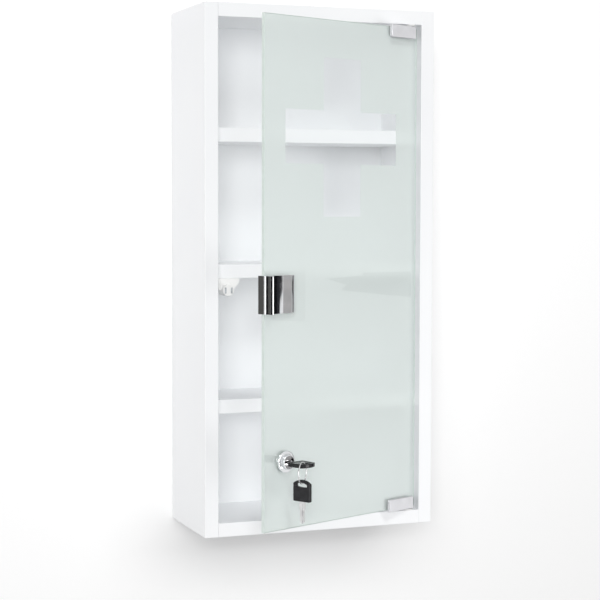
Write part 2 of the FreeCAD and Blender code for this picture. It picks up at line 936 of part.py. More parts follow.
save("left_side_panel", left_side_panel())
save("right_side_panel", side_panel(1))
save("top_panel", top_panel())
save("bottom_panel", bottom_panel())
save("back_panel", back_panel())
save("upper_shelf", shelf(z_middle + shelf_spacing))
save("middle_shelf", middle_shelf())
save("lower_shelf", shelf(z_middle - shelf_spacing))
save("carcass_dowels", dowels(carcass_dowel_places()))
save("shelf_dowels", dowels(shelf_dowel_places()))
save("left_hanger_plate", hanger_plate(-1))
save("right_hanger_plate", hanger_plate(1))
hanger_places = hanger_screw_places(-1) + hanger_screw_places(1)
save("hanger_screws", Part.makeCompound([wood_screw(place, -axis_y, hanger_thickness) for place in hanger_places]))
save("upper_hinge_bush", hinge_bush())
save("lower_hinge_bush", mirrored_below(hinge_bush()))
save("catch_body", catch_body())
save("catch_magnet", catch_magnet())
save("catch_poles", catch_poles())
save("catch_screws", catch_screws())

# Door body, left ajar

save("glass_door", ajar(glass_door()))
save("frosted_film", ajar(frosted_film()))
save("upper_hinge_clip", ajar(hinge_clip()))
save("lower_hinge_clip", ajar(mirrored_below(hinge_clip())))
save("upper_hinge_pin", ajar(hinge_pin()))
save("lower_hinge_pin", ajar(mirrored_below(hinge_pin())))
save("hinge_pads", ajar(both_ends(clip_pads())))
save("hinge_set_screws", ajar(both_ends(clip_set_screws())))
save("handle", ajar(handle()))
save("handle_pads", ajar(handle_pads()))
save("handle_set_screws", ajar(handle_set_screws()))
save("lock_body", ajar(lock_body()))
save("lock_gaskets", ajar(lock_gaskets()))
save("lock_nut", ajar(lock_nut()))

# Turning part of the lock

save("lock_barrel", ajar(lock_barrel()))
save("lock_wafers", ajar(lock_wafers()))
save("lock_cam", ajar(lock_cam()))
save("cam_screw", ajar(cam_screw()))

# Keys on their ring

save("key_blade", ajar(in_lock(key_blade())))
save("key_head", ajar(in_lock(key_head())))
save("key_ring", ajar(key_ring()))
save("spare_key_blade", ajar(on_ring(key_blade())))
save("spare_key_head", ajar(on_ring(key_head())))
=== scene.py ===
import json
import math

import bmesh
import bpy
from mathutils import Matrix, Vector


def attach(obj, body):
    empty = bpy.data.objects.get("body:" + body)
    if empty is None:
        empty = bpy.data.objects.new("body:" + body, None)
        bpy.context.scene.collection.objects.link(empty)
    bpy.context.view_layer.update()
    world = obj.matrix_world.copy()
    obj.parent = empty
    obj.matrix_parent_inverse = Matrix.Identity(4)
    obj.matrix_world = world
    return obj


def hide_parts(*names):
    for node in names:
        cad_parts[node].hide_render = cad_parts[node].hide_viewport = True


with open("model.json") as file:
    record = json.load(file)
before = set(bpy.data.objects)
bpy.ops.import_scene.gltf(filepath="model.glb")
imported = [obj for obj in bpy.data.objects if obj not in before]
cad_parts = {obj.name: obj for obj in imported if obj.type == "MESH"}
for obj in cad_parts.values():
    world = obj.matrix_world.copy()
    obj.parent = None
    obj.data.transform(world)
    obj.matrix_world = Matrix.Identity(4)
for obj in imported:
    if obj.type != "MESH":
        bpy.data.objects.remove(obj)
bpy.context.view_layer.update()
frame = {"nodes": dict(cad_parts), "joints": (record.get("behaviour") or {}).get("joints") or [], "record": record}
nodes = frame["nodes"]
joints = {joint["name"]: joint for joint in frame["joints"]}
mm = 0.001  # metres in a millimetre
tiny = 1e-6  # keeps a division off zero, and tells two heights apart
white = (1, 1, 1, 1)
print("frame loaded:", len(nodes), "CAD nodes")


def hexToLinear(hexColour):
    channels = []
    for start in (1, 3, 5):
        value = int(hexColour[start:start + 2], 16) / 255
        channels.append(value / 12.92 if value <= 0.04045 else ((value + 0.055) / 1.055) ** 2.4)
    return (*channels, 1.0)


def addNode(tree, kind, settings=None, links=None):
    node = tree.nodes.new(kind)
    for name, value in (settings or {}).items():
        if isinstance(name, int) or name in node.inputs:
            node.inputs[name].default_value = value
        else:
            setattr(node, name, value)
    for name, source in (links or {}).items():
        tree.links.new(source, node.inputs[name])
    return node


def emptyMaterial(name):
    material = bpy.data.materials.new(name)
    material.use_nodes = True
    material.node_tree.nodes.clear()
    return material, material.node_tree


def perMetre(sizeMm):
    return 1 / (sizeMm * mm)  # noise scale that gives features of about this size


def anyRay(tree, kinds):
    # 1 where the ray is of one of these kinds, else 0
    path = addNode(tree, "ShaderNodeLightPath")
    found = path.outputs[kinds[0]]
    for kind in kinds[1:]:
        either = addNode(tree, "ShaderNodeMath", {"operation": "MAXIMUM"}, {0: found, 1: path.outputs[kind]})
        found = either.outputs["Value"]
    return found


# Rays that only gather light, and rays that show a thing itself, also in metal and glass
lightRays = ("Is Shadow Ray", "Is Diffuse Ray")
seenRays = ("Is Camera Ray", "Is Glossy Ray", "Is Transmission Ray")


def letLampsPass(tree, shader, tint):
    # lamps and soft light pass straight through, while the camera sees the shader itself
    lampWay = addNode(tree, "ShaderNodeBsdfTransparent", {"Color": hexToLinear(tint)})
    both = addNode(tree, "ShaderNodeMixShader", {}, {0: anyRay(tree, lightRays), 1: shader.outputs["BSDF"],
                                                     2: lampWay.outputs["BSDF"]})
    addNode(tree, "ShaderNodeOutputMaterial", {}, {"Surface": both.outputs["Shader"]})


# Each finish: two close tones, the size of the drift between them, and a fine grain that lifts the surface.
# Grain under a third of a millimetre is drawn coarser than it is, so that it shows in a render of the whole cabinet.
finishLooks = {
    # MDF, sprayed with satin lacquer: clean white, a faint orange peel and a slow drift in tone
    "mdfLacquerSprayed": {"tones": ("#F4F5F7", "#F8F9FA"), "toneMm": 180, "rough": (0.30, 0.38), "metallic": 0.0,
                          "grainMm": 2.4, "grainHeightMm": 0.02, "grainStrength": 0.22},
    # chromium plate, polished: a clear mirror with faint wipe marks
    "chromePlatePolished": {"tones": ("#DADCDE", "#E4E5E7"), "toneMm": 14, "rough": (0.04, 0.08), "metallic": 1.0,
                            "grainMm": 1.6, "grainHeightMm": 0.002, "grainStrength": 0.02},
    # zinc casting, blasted and matt plated: an even pale grey sheen with fine grain
    "zincCastBlasted": {"tones": ("#D0D0D3", "#D8D8DB"), "toneMm": 9, "rough": (0.38, 0.48), "metallic": 0.5,
                        "grainMm": 0.5, "grainHeightMm": 0.006, "grainStrength": 0.25},
    # steel, pressed and zinc plated: bluish bright grey, slightly clouded
    "steelZincPlated": {"tones": ("#A9ACB0", "#C2C5C9"), "toneMm": 4, "rough": (0.26, 0.42), "metallic": 1.0,
                        "grainMm": 0.6, "grainHeightMm": 0.004, "grainStrength": 0.2},
    # nickel plate on brass, turned and tumbled: a darker mirror than the chrome round it, slightly smoky, its dark
    # tone a painted dark reflection
    "nickelPlatePaintedDark": {"tones": ("#8C8B8C", "#9A999A"), "toneMm": 6, "rough": (0.06, 0.11), "metallic": 1.0,
                          "grainMm": 0.8, "grainHeightMm": 0.002, "grainStrength": 0.03},
    # steel, milled and nickel plated: bright and a little warm, with fine cutter lines
    "steelNickelMilled": {"tones": ("#C6C6C6", "#D5D5D6"), "toneMm": 3, "rough": (0.16, 0.26), "metallic": 1.0,
                          "grainMm": 0.4, "grainHeightMm": 0.004, "grainStrength": 0.2},
    # brass, stamped: warm yellow with dull patches from the tool
    "brassStamped": {"tones": ("#B8965A", "#C9A866"), "toneMm": 3, "rough": (0.25, 0.40), "metallic": 1.0,
                     "grainMm": 0.5, "grainHeightMm": 0.004, "grainStrength": 0.2},
    # nylon, moulded: milky white with a soft sheen
    "nylonMoulded": {"tones": ("#EDEDEC", "#F3F3F2"), "toneMm": 12, "rough": (0.40, 0.52), "metallic": 0.0,
                     "grainMm": 0.5, "grainHeightMm": 0.01, "grainStrength": 0.2},
    # ABS, moulded in a polished tool: deep black with a wet-looking gloss
    "absMouldedBlack": {"tones": ("#17171A", "#202023"), "toneMm": 6, "rough": (0.14, 0.22), "metallic": 0.0,
                        "gloss": 0.28, "grainMm": 1.1, "grainHeightMm": 0.006, "grainStrength": 0.2},
    # silicone, cut from sheet: grey, dull and a little dusty
    "siliconeCut": {"tones": ("#B4B7B8", "#C0C3C4"), "toneMm": 5, "rough": (0.65, 0.80), "metallic": 0.0,
                    "grainMm": 0.4, "grainHeightMm": 0.01, "grainStrength": 0.3},
    # beech, turned into dowels: pale brown wood with short dark flecks
    "beechTurned": {"tones": ("#C89F6C", "#D8B384"), "toneMm": 2, "rough": (0.60, 0.75), "metallic": 0.0,
                    "grainMm": 0.5, "grainHeightMm": 0.02, "grainStrength": 0.3},
    # ferrite, sintered: near black and slightly sparkling
    "ferriteSintered": {"tones": ("#232326", "#303034"), "toneMm": 1, "rough": (0.50, 0.70), "metallic": 0.0,
                        "grainMm": 0.3, "grainHeightMm": 0.01, "grainStrength": 0.3},
    # float glass edge, ground and left matt: pale sea green that glows with the light inside the pane
    "floatGlassGround": {"tones": ("#D3DED9", "#DCE6E1"), "toneMm": 8, "rough": (0.45, 0.60), "metallic": 0.0,
                         "grainMm": 0.5, "grainHeightMm": 0.02, "grainStrength": 0.3, "lampTint": "#F4F9F6"},
}

# How the drift and the grain are drawn: steps of detail, and the part of the drift that is spread from tone to tone
noiseLook = {"driftDetail": 3.0, "driftLow": 0.3, "driftHigh": 0.7, "grainDetail": 2.0}
plainGloss = 0.5  # of finishes that name no gloss of their own


def makeFinish(name):
    look = finishLooks[name]
    material, tree = emptyMaterial(name)
    place = addNode(tree, "ShaderNodeTexCoord").outputs["Object"]
    drift = addNode(tree, "ShaderNodeTexNoise", {
        "Scale": perMetre(look["toneMm"]), "Detail": noiseLook["driftDetail"]}, {"Vector": place})
    share = addNode(tree, "ShaderNodeMapRange", {
        "From Min": noiseLook["driftLow"], "From Max": noiseLook["driftHigh"]}, {"Value": drift.outputs["Fac"]})
    tone = addNode(tree, "ShaderNodeMix", {"data_type": "RGBA", 6: hexToLinear(look["tones"][0]),
                                           7: hexToLinear(look["tones"][1])}, {0: share.outputs["Result"]})
    rough = addNode(tree, "ShaderNodeMapRange", {"To Min": look["rough"][0], "To Max": look["rough"][1]},
                    {"Value": share.outputs["Result"]})
    grain = addNode(tree, "ShaderNodeTexNoise", {
        "Scale": perMetre(look["grainMm"]), "Detail": noiseLook["grainDetail"]}, {"Vector": place})
    lift = addNode(tree, "ShaderNodeBump", {
        "Strength": look["grainStrength"], "Distance": look["grainHeightMm"] * mm}, {"Height": grain.outputs["Fac"]})
    shader = addNode(tree, "ShaderNodeBsdfPrincipled", {
        "Metallic": look["metallic"], "Specular IOR Level": look.get("gloss", plainGloss)},
        {"Base Color": tone.outputs[2], "Roughness": rough.outputs["Result"], "Normal": lift.outputs["Normal"]})
    if "lampTint" in look:
        letLampsPass(tree, shader, look["lampTint"])
    else:
        addNode(tree, "ShaderNodeOutputMaterial", {}, {"Surface": shader.outputs["BSDF"]})
    return material


# Float glass, fire polished: clear, a little green, and it lets the lamps reach what is behind it
glassLook = {"tint": "#FDFEFE", "ior": 1.52, "roughness": 0.01, "lampTint": "#FDFEFE"}


def makeGlass():
    material, tree = emptyMaterial("floatGlassPolished")
    pane = addNode(tree, "ShaderNodeBsdfPrincipled", {
        "Base Color": hexToLinear(glassLook["tint"]), "Transmission Weight": 1.0, "IOR": glassLook["ior"],
        "Roughness": glassLook["roughness"]})
    letLampsPass(tree, pane, glassLook["lampTint"])
    return material


# Vinyl film, embossed matt: a pale green-white veil that blurs what is behind it
filmLook = {"tones": ("#E7EDEA", "#EDF2F0"), "grainMm": 1.2, "grainDetail": 4.0, "grainHeightMm": 0.01,
            "grainStrength": 0.3, "ior": 1.2, "roughness": 0.5, "clear": 0.5, "lampTint": "#FFFFFF"}


def makeFilm():
    material, tree = emptyMaterial("vinylFilmEmbossed")
    place = addNode(tree, "ShaderNodeTexCoord").outputs["Object"]
    grain = addNode(tree, "ShaderNodeTexNoise", {
        "Scale": perMetre(filmLook["grainMm"]), "Detail": filmLook["grainDetail"]}, {"Vector": place})
    tone = addNode(tree, "ShaderNodeMix", {"data_type": "RGBA", 6: hexToLinear(filmLook["tones"][0]),
                                           7: hexToLinear(filmLook["tones"][1])}, {0: grain.outputs["Fac"]})
    lift = addNode(tree, "ShaderNodeBump", {
        "Strength": filmLook["grainStrength"], "Distance": filmLook["grainHeightMm"] * mm},
        {"Height": grain.outputs["Fac"]})
    veil = addNode(tree, "ShaderNodeBsdfPrincipled", {
        "Transmission Weight": filmLook["clear"], "IOR": filmLook["ior"], "Roughness": filmLook["roughness"]},
        {"Base Color": tone.outputs[2], "Normal": lift.outputs["Normal"]})
    letLampsPass(tree, veil, filmLook["lampTint"])
    return material


materials = {name: makeFinish(name) for name in finishLooks}
materials["floatGlassPolished"] = makeGlass()
materials["vinylFilmEmbossed"] = makeFilm()
print("materials made:", len(materials))

slotFinish = {
    "lacquered_board": "mdfLacquerSprayed",
    "beech": "beechTurned",
    "zinc_plated_steel": "steelZincPlated",
    "white_nylon": "nylonMoulded",
    "ferrite": "ferriteSintered",
    "clear_glass": "floatGlassPolished",
    "frosted_film": "vinylFilmEmbossed",
    "satin_zinc": "zincCastBlasted",
    "steel_pin": "steelZincPlated",
    "soft_pad": "siliconeCut",
    "polished_chrome": "chromePlatePolished",
    "brass_wafer": "brassStamped",
    "nickel_steel": "steelNickelMilled",
    "black_plastic": "absMouldedBlack",
}
for part in frame["record"]["subparts"]:
    shown = nodes[part["node"]]
    shown.data.materials.clear()
    shown.data.materials.append(materials[slotFinish[part["material_slot"]]])
print("finishes assigned")

# The door is drawn shut, in millimetres, and then swung to where it stands at rest
hinge = joints["door_swing"]
pivot = Vector(hinge["pos_m"])
ajarTurn = (Matrix.Translation(pivot) @ Matrix.Rotation(math.radians(-hinge["range_deg"][0]), 4, "Z")
            @ Matrix.Translation(-pivot))


def swingAjar(mesh):
    bmesh.ops.scale(mesh, vec=(mm, mm, mm), verts=mesh.verts)
    bmesh.ops.transform(mesh, matrix=ajarTurn, verts=mesh.verts)


def finishPiece(name, mesh, body, replaced, finishes):
    swingAjar(mesh)
    bmesh.ops.recalc_face_normals(mesh, faces=mesh.faces)
    data = bpy.data.meshes.new(name)
    mesh.to_mesh(data)
    mesh.free()
    for finish in finishes:
        data.materials.append(materials[finish])
    piece = bpy.data.objects.new(name, data)
    bpy.context.scene.collection.objects.link(piece)
    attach(piece, body)
    if replaced:
        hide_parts(replaced)
    return piece


def smoothFaces(piece):
    piece.data.polygons.foreach_set("use_smooth", [True] * len(piece.data.polygons))


def smoothWithEdges(piece, sharpDeg):
    smoothFaces(piece)
    piece.data.set_sharp_from_angle(angle=math.radians(sharpDeg))


def roundEdges(piece, widthMm, segments, sharpDeg):
    soft = piece.modifiers.new("roundEdges", "BEVEL")
    soft.width = widthMm * mm
    soft.segments = segments
    soft.limit_method = "ANGLE"
    soft.angle_limit = math.radians(sharpDeg)
    soft.harden_normals = True
    smoothFaces(piece)


def joinLoops(mesh, near, far):
    faces = []
    for step in range(len(near)):
        after = (step + 1) % len(near)
        faces.append(mesh.faces.new((near[step], near[after], far[after], far[step])))
    return faces


def arcPoints(centre, radius, startDeg, endDeg, steps):
    points = []
    for step in range(steps + 1):
        angle = math.radians(startDeg + (endDeg - startDeg) * step / steps)
        points.append((centre[0] + radius * math.cos(angle), centre[1] + radius * math.sin(angle)))
    return points


# The lock's axis, in x and z, with the door shut
lockAt = (-89.3, -465.0)

# Glass pane: polished faces, ground edges and a ground bore for the lock
paneSize = {"left": -121.0, "right": 121.5, "front": -127.0, "back": -123.0, "bottom": -540.0, "top": 20.0,
            "arris": 0.5, "boreRadius": 9.5, "boreSides": 64}


def makeGlassPane():
    size = paneSize
    mesh = bmesh.new()
    loops = []
    for y, inset in ((size["front"], size["arris"]), (size["front"] + size["arris"], 0.0),
                     (size["back"] - size["arris"], 0.0), (size["back"], size["arris"])):
        left, right = size["left"] + inset, size["right"] - inset
        low, high = size["bottom"] + inset, size["top"] - inset
        rim = [mesh.verts.new((x, y, z)) for x, z in ((left, low), (right, low), (right, high), (left, high))]
        radius = size["boreRadius"] + inset
        bore = []
        for step in range(size["boreSides"]):
            angle = 2 * math.pi * step / size["boreSides"]
            bore.append(mesh.verts.new((lockAt[0] + radius * math.cos(angle), y,
                                        lockAt[1] + radius * math.sin(angle))))
        loops.append((rim, bore))
    for first, second in zip(loops[:-1], loops[1:]):
        for near, far in zip(first, second):
            for face in joinLoops(mesh, near, far):
                face.material_index = 1
    for rim, bore in (loops[0], loops[-1]):
        edges = [mesh.edges.get((ring[step], ring[(step + 1) % len(ring)])) for ring in (rim, bore)
                 for step in range(len(ring))]
        bmesh.ops.triangle_fill(mesh, use_beauty=True, use_dissolve=False, edges=edges)
    finishPiece("glassPane", mesh, "door", "glass_door", ["floatGlassPolished", "floatGlassGround"])


makeGlassPane()

# Handle: one bent profile that clips over the glass edge, with a hooked lip and a long hollow curve in front
handleSize = {"edge": paneSize["left"], "front": paneSize["front"], "middle": -281.3, "height": 41.5, "plate": 44.0,
              "plateThick": 2.1, "plateEase": 0.3, "web": 2.0, "pad": 0.5, "behind": 4.25, "backThick": 2.0,
              "backReach": 27.0, "lip": 14.4, "lipThick": 2.2, "lipSteps": 14, "curveEnd": 27.0, "curveDeg": 22.0,
              "curveSteps": 28, "shoulderRise": 5.0, "shoulderSteps": 15, "endRoll": 8.0, "endDrop": 1.7,
              "endSteps": 12, "corner": 1.2, "cornerBreak": 0.4, "screwIn": 20.0, "screwSpread": 14.0, "tap": 1.55,
              "tapSides": 32, "tapMiddle": 1.5, "tapDeep": 2.9, "round": 0.25, "roundSteps": 3, "sharpDeg": 35}


def handleProfile(endShift):
    size = handleSize
    webIn = -size["pad"]
    webOut = webIn - size["web"]
    backIn = -size["behind"] - size["pad"]
    backOut = backIn - size["backThick"]
    plateOut = size["pad"] + size["plateThick"]
    crest = size["lipThick"] / 2
    crestBase = size["lip"] - crest
    lipRight = webIn + size["lipThick"]
    bend = (size["curveEnd"] - lipRight) / math.sin(math.radians(size["curveDeg"]))
    rollDeg = math.degrees(math.acos(1 - size["endDrop"] / size["endRoll"]))
    rollAt = size["plate"] - size["endRoll"] * math.sin(math.radians(rollDeg)) - endShift
    points = [(webOut, plateOut), (webOut, backOut), (size["backReach"], backOut), (size["backReach"], backIn)]
    points += [(webIn, backIn), (webIn, size["pad"]), (size["plate"] - endShift, size["pad"])]
    points += arcPoints((rollAt, plateOut - size["endRoll"]), size["endRoll"], 90 - rollDeg, 90, size["endSteps"])
    ease = size["plateEase"]
    points += [(rollAt - ease, plateOut), (size["curveEnd"] + ease, plateOut)]  # keep the plate between them flat
    points += arcPoints((size["curveEnd"], plateOut + bend), bend, -90, -90 - size["curveDeg"], size["curveSteps"])
    points += arcPoints((webIn + crest, crestBase), crest, 0, 180, size["lipSteps"])
    for step in range(size["shoulderSteps"]):
        angle = math.radians(90 * step / size["shoulderSteps"])
        points.append((webIn - size["web"] * (1 - math.cos(angle)),
                       plateOut + size["shoulderRise"] * (1 - math.sin(angle))))
    return points


def cutTaps(piece):
    size = handleSize
    taps = bmesh.new()
    for side in (-1, 1):
        middle = Matrix.Translation((size["edge"] + size["screwIn"],
                                     size["front"] + size["behind"] + size["tapMiddle"],
                                     size["middle"] + side * size["screwSpread"]))
        bmesh.ops.create_cone(taps, cap_ends=True, segments=size["tapSides"], radius1=size["tap"], radius2=size["tap"],
                              depth=size["tapDeep"], matrix=middle @ Matrix.Rotation(math.pi / 2, 4, "X"))
    swingAjar(taps)
    data = bpy.data.meshes.new("tapCutter")
    taps.to_mesh(data)
    taps.free()
    cutter = bpy.data.objects.new("tapCutter", data)
    bpy.context.scene.collection.objects.link(cutter)
    cut = piece.modifiers.new("taps", "BOOLEAN")
    cut.operation = "DIFFERENCE"
    cut.solver = "EXACT"
    cut.object = cutter
    bpy.context.view_layer.update()
    shaped = bpy.data.meshes.new_from_object(piece.evaluated_get(bpy.context.evaluated_depsgraph_get()))
    piece.modifiers.remove(cut)
    piece.data = shaped
    bpy.data.objects.remove(cutter)


def makeHandle():
    size = handleSize
    mesh = bmesh.new()
    half = size["height"] / 2
    levels = []
    for depth in (0.0, size["corner"] * size["cornerBreak"], size["corner"]):
        left = size["corner"] - depth
        levels.append((half - depth, size["corner"] - math.sqrt(size["corner"] ** 2 - left ** 2)))
    levels = [(-up, shift) for up, shift in levels] + [(up, shift) for up, shift in reversed(levels)]
    loops = []
    for up, shift in levels:
        loops.append([mesh.verts.new((size["edge"] + inward, size["front"] - outward, size["middle"] + up))
                      for inward, outward in handleProfile(shift)])
    for near, far in zip(loops[:-1], loops[1:]):
        joinLoops(mesh, near, far)
    mesh.faces.new(loops[0])
    mesh.faces.new(loops[-1])
    piece = finishPiece("handleClip", mesh, "door", "handle", ["chromePlatePolished"])
    cutTaps(piece)
    roundEdges(piece, size["round"], size["roundSteps"], size["sharpDeg"])


makeHandle()

# Lock housing: turned in one piece, a flat rosette, a raised collar and a threaded stem behind
lockSize = {"seat": -127.6, "face": -129.6, "front": -134.0, "rear": -113.75, "rosette": 12.0, "rim": 0.9,
            "rimStepDeg": 10, "collar": 8.25, "collarFoot": 0.4, "collarEase": 0.1, "mouth": 7.26, "mouthWide": 0.49,
            "lip": 0.5, "lipStepDeg": 15, "bore": 6.26, "step": -131.7, "stem": 9.0, "stemBevel": 0.4,
            "threadFrom": 5.5, "threadDepth": 0.35, "pitch": 1.0, "sides": 96, "sharpDeg": 32}


def lockProfile():
    size = lockSize
    lip, wide, rim, foot = size["lip"], size["mouthWide"], size["rim"], size["collarFoot"]
    lipAngles = [math.radians(angle) for angle in range(size["lipStepDeg"], 91, size["lipStepDeg"])]
    rimAngles = [math.radians(angle) for angle in range(0, 91, size["rimStepDeg"])]
    lipBack = size["front"] + lip
    outer = [(size["mouth"], lipBack)]
    outer += [(size["mouth"] + wide - wide * math.cos(angle), lipBack - lip * math.sin(angle)) for angle in lipAngles]
    outer += [(size["collar"] - lip + lip * math.sin(angle), lipBack - lip * math.cos(angle)) for angle in lipAngles]
    outer += [(size["collar"], size["face"] - foot),
              (size["collar"] + size["collarEase"], size["face"] - size["collarEase"]),
              (size["collar"] + foot, size["face"])]
    outer += [(size["rosette"] - rim + rim * math.sin(angle), size["face"] + rim * (1 - math.cos(angle)))
              for angle in rimAngles]
    outer += [(size["rosette"], size["seat"]), (size["stem"], size["seat"])]
    y = size["seat"] + size["threadFrom"]
    while y + size["pitch"] < size["rear"]:
        outer += [(size["stem"], y), (size["stem"] - size["threadDepth"], y + size["pitch"] / 2)]
        y += size["pitch"]
    outer += [(size["stem"], y), (size["stem"] - size["stemBevel"], size["rear"]), (size["bore"], size["rear"]),
              (size["bore"], size["step"]), (size["mouth"], size["step"])]
    return outer


def makeLockHousing():
    size = lockSize
    mesh = bmesh.new()
    profile = lockProfile()
    rings = []
    for step in range(size["sides"]):
        angle = 2 * math.pi * step / size["sides"]
        rings.append([mesh.verts.new((lockAt[0] + radius * math.cos(angle), y, lockAt[1] + radius * math.sin(angle)))
                      for radius, y in profile])
    for near, far in zip(rings, rings[1:] + rings[:1]):
        joinLoops(mesh, near, far)
    piece = finishPiece("lockHousing", mesh, "door", "lock_body", ["chromePlatePolished"])
    smoothWithEdges(piece, size["sharpDeg"])


makeLockHousing()

# Plug face: a shallow nickel-plated dome round the keyway, which turns with the plug. Its metal is darkened all over
# to paint the dark reflection on the plug
plugSize = {"face": -133.4, "radius": 7.0, "dome": 1.1, "rim": 0.02, "slotHalf": 3.8, "slotHigh": 1.35, "sides": 96,
            "rings": 12, "sharpDeg": 32}


def makePlugDome():
    size = plugSize
    mesh = bmesh.new()
    spokes = []
    for step in range(size["sides"]):
        angle = 2 * math.pi * step / size["sides"]
        across, up = math.cos(angle), math.sin(angle)
        slot = min(size["slotHalf"] / max(abs(across), tiny), size["slotHigh"] / max(abs(up), tiny))
        spoke = [(slot, size["face"])]
        for ring in range(size["rings"] + 1):
            radius = slot + (size["radius"] - slot) * ring / size["rings"]
            bulge = size["dome"] * (1 - (radius / size["radius"]) ** 2)
            spoke.append((radius, size["face"] - bulge - size["rim"]))
        spoke.append((size["radius"], size["face"]))
        spokes.append([mesh.verts.new((lockAt[0] + radius * across, y, lockAt[1] + radius * up))
                       for radius, y in spoke])
    for near, far in zip(spokes, spokes[1:] + spokes[:1]):
        joinLoops(mesh, near, far)
    piece = finishPiece("plugDome", mesh, "lock_plug", None, ["nickelPlatePaintedDark"])
    smoothWithEdges(piece, size["sharpDeg"])


makePlugDome()

# Key heads: moulded round the blades, with a bowed end, a curved slot for the ring and a sunk panel on both faces
headSize = {"half": 11.25, "end": -5.5, "endSteps": 24, "shoulder": -1.5, "inner": 18.1, "thick": 4.5, "corner": 1.6,
            "cornerSteps": 6, "slotHalf": 7.6, "land": 3.0, "slotTopSteps": 16, "slotLow": 2.5, "slotRise": 0.7,
            "slotLowSteps": 12, "slotCorner": 1.3, "slotCornerSteps": 5, "slotEdgeShare": 0.5, "panelRim": 2.2,
            "panelTop": 4.9, "panelSink": 0.3, "panelCorner": 1.3, "panelCornerSteps": 5, "panelLip": 0.15,
            "panelFoot": 0.4, "sharpDeg": 40,
            "edge": ((0.0, 1.3), (0.06, 1.75), (0.28, 2.1), (0.7, 2.25), (0.95, 2.25))}
keyPlaces = {
    "lockKeyHead": {"body": "key", "replaced": "key_head", "at": (lockAt[0], -160.4, lockAt[1]),
                    "axes": ((1, 0, 0), (0, 1, 0), (0, 0, 1))},
    "spareKeyHead": {"body": "spare_key", "replaced": "spare_key_head", "at": (-98.05, -163.2, -484.93),
                     "axes": ((0.12880, -0.99167, 0), (0, 0, -1), (0.99167, 0.12880, 0))},
}


gentleDeg = 20  # a corner that turns less than this stays as it is


def roundedLoop(corners, radius, steps):
    points = []
    for index, corner in enumerate(corners):
        here, before, after = Vector(corner), Vector(corners[index - 1]), Vector(corners[(index + 1) % len(corners)])
        toBefore, toAfter = (before - here).normalized(), (after - here).normalized()
        turn = math.pi - toBefore.angle(toAfter)
        if turn < math.radians(gentleDeg):
            points.append(here)
            continue
        reach = radius * math.tan(turn / 2)
        start, end = here + toBefore * reach, here + toAfter * reach
        for step in range(steps + 1):
            share = step / steps
            points.append(start.lerp(here, share).lerp(here.lerp(end, share), share))
    return points


def shiftedLoop(points, amount):
    moved = []
    for index, here in enumerate(points):
        before, after = points[index - 1], points[(index + 1) % len(points)]
        along = (after - before).normalized()
        moved.append(here + Vector((-along.y, along.x)) * amount)
    return moved


def headOutline():
    size = headSize
    rise = size["shoulder"] - size["end"]
    bow = (size["half"] ** 2 + rise ** 2) / (2 * rise)
    reach = math.degrees(math.asin(size["half"] / bow))
    arc = arcPoints((0, size["end"] + bow), bow, -90 - reach, -90 + reach, size["endSteps"])
    corners = arc + [(size["half"], size["inner"]), (-size["half"], size["inner"])]
    return roundedLoop(corners, size["corner"], size["cornerSteps"]), bow


def slotOutline(bow):
    size = headSize
    inside = bow - size["land"]
    reach = math.degrees(math.asin(size["slotHalf"] / inside))
    top = arcPoints((0, size["end"] + bow), inside, -90 - reach, -90 + reach, size["slotTopSteps"])
    low = []
    for step in range(size["slotLowSteps"] + 1):
        x = size["slotHalf"] * (1 - 2 * step / size["slotLowSteps"])
        low.append((x, size["slotLow"] - size["slotRise"] * (x / size["slotHalf"]) ** 2))
    return roundedLoop(top + low, size["slotCorner"], size["slotCornerSteps"])


def panelOutline(shrink):
    size = headSize
    half = size["half"] - size["panelRim"] - shrink
    low, high = size["panelTop"] + shrink, size["inner"] - size["panelRim"] - shrink
    corners = [(-half, low), (half, low), (half, high), (-half, high)]
    return roundedLoop(corners, size["panelCorner"], size["panelCornerSteps"])


def makeKeyHead(name):
    size, place = headSize, keyPlaces[name]
    mesh = bmesh.new()
    outline, bow = headOutline()
    slot = slotOutline(bow)
    levels = [(-up, inset) for inset, up in reversed(size["edge"])] + [(up, inset) for inset, up in size["edge"]]
    for points, share in ((outline, 1.0), (slot, -size["slotEdgeShare"])):
        loops = [[mesh.verts.new((point.x, point.y, up)) for point in shiftedLoop(points, inset * share)]
                 for up, inset in levels]
        for near, far in zip(loops[:-1], loops[1:]):
            joinLoops(mesh, near, far)
    for side in (-1, 1):
        face = side * size["thick"] / 2
        rim = [mesh.verts.new((point.x, point.y, face)) for point in panelOutline(0.0)]
        lip = [mesh.verts.new((point.x, point.y, face)) for point in panelOutline(size["panelLip"])]
        foot = [mesh.verts.new((point.x, point.y, face - side * size["panelSink"]))
                for point in panelOutline(size["panelFoot"])]
        joinLoops(mesh, rim, lip)
        joinLoops(mesh, lip, foot)
        mesh.faces.new(foot)
        border = [edge for edge in mesh.edges if edge.is_boundary and all(
            abs(vert.co.z - face) < tiny for vert in edge.verts)]
        bmesh.ops.triangle_fill(mesh, use_beauty=True, use_dissolve=False, edges=border)
    turn = Matrix([[axis[row] for axis in place["axes"]] for row in range(3)]).to_4x4()
    bmesh.ops.transform(mesh, matrix=Matrix.Translation(place["at"]) @ turn, verts=mesh.verts)
    piece = finishPiece(name, mesh, place["body"], place["replaced"], ["absMouldedBlack"])
    smoothWithEdges(piece, size["sharpDeg"])


for name in keyPlaces:
    makeKeyHead(name)
print("own pieces made")

# Stage: a white wall behind the cabinet. It is open behind the cabinet and not seen from its back, so that the
# cabinet's own back can be looked at. It shows in its colour, with a small lift, and lights things by its bounce.
wallLook = {"colour": "#FDFDFD", "bounce": "#E8E8E8", "half": 3.0, "gap": 0.0006, "lift": 0.02,
            "middle": -0.26, "openHalfWide": 0.1385, "openHalfHigh": 0.2985}


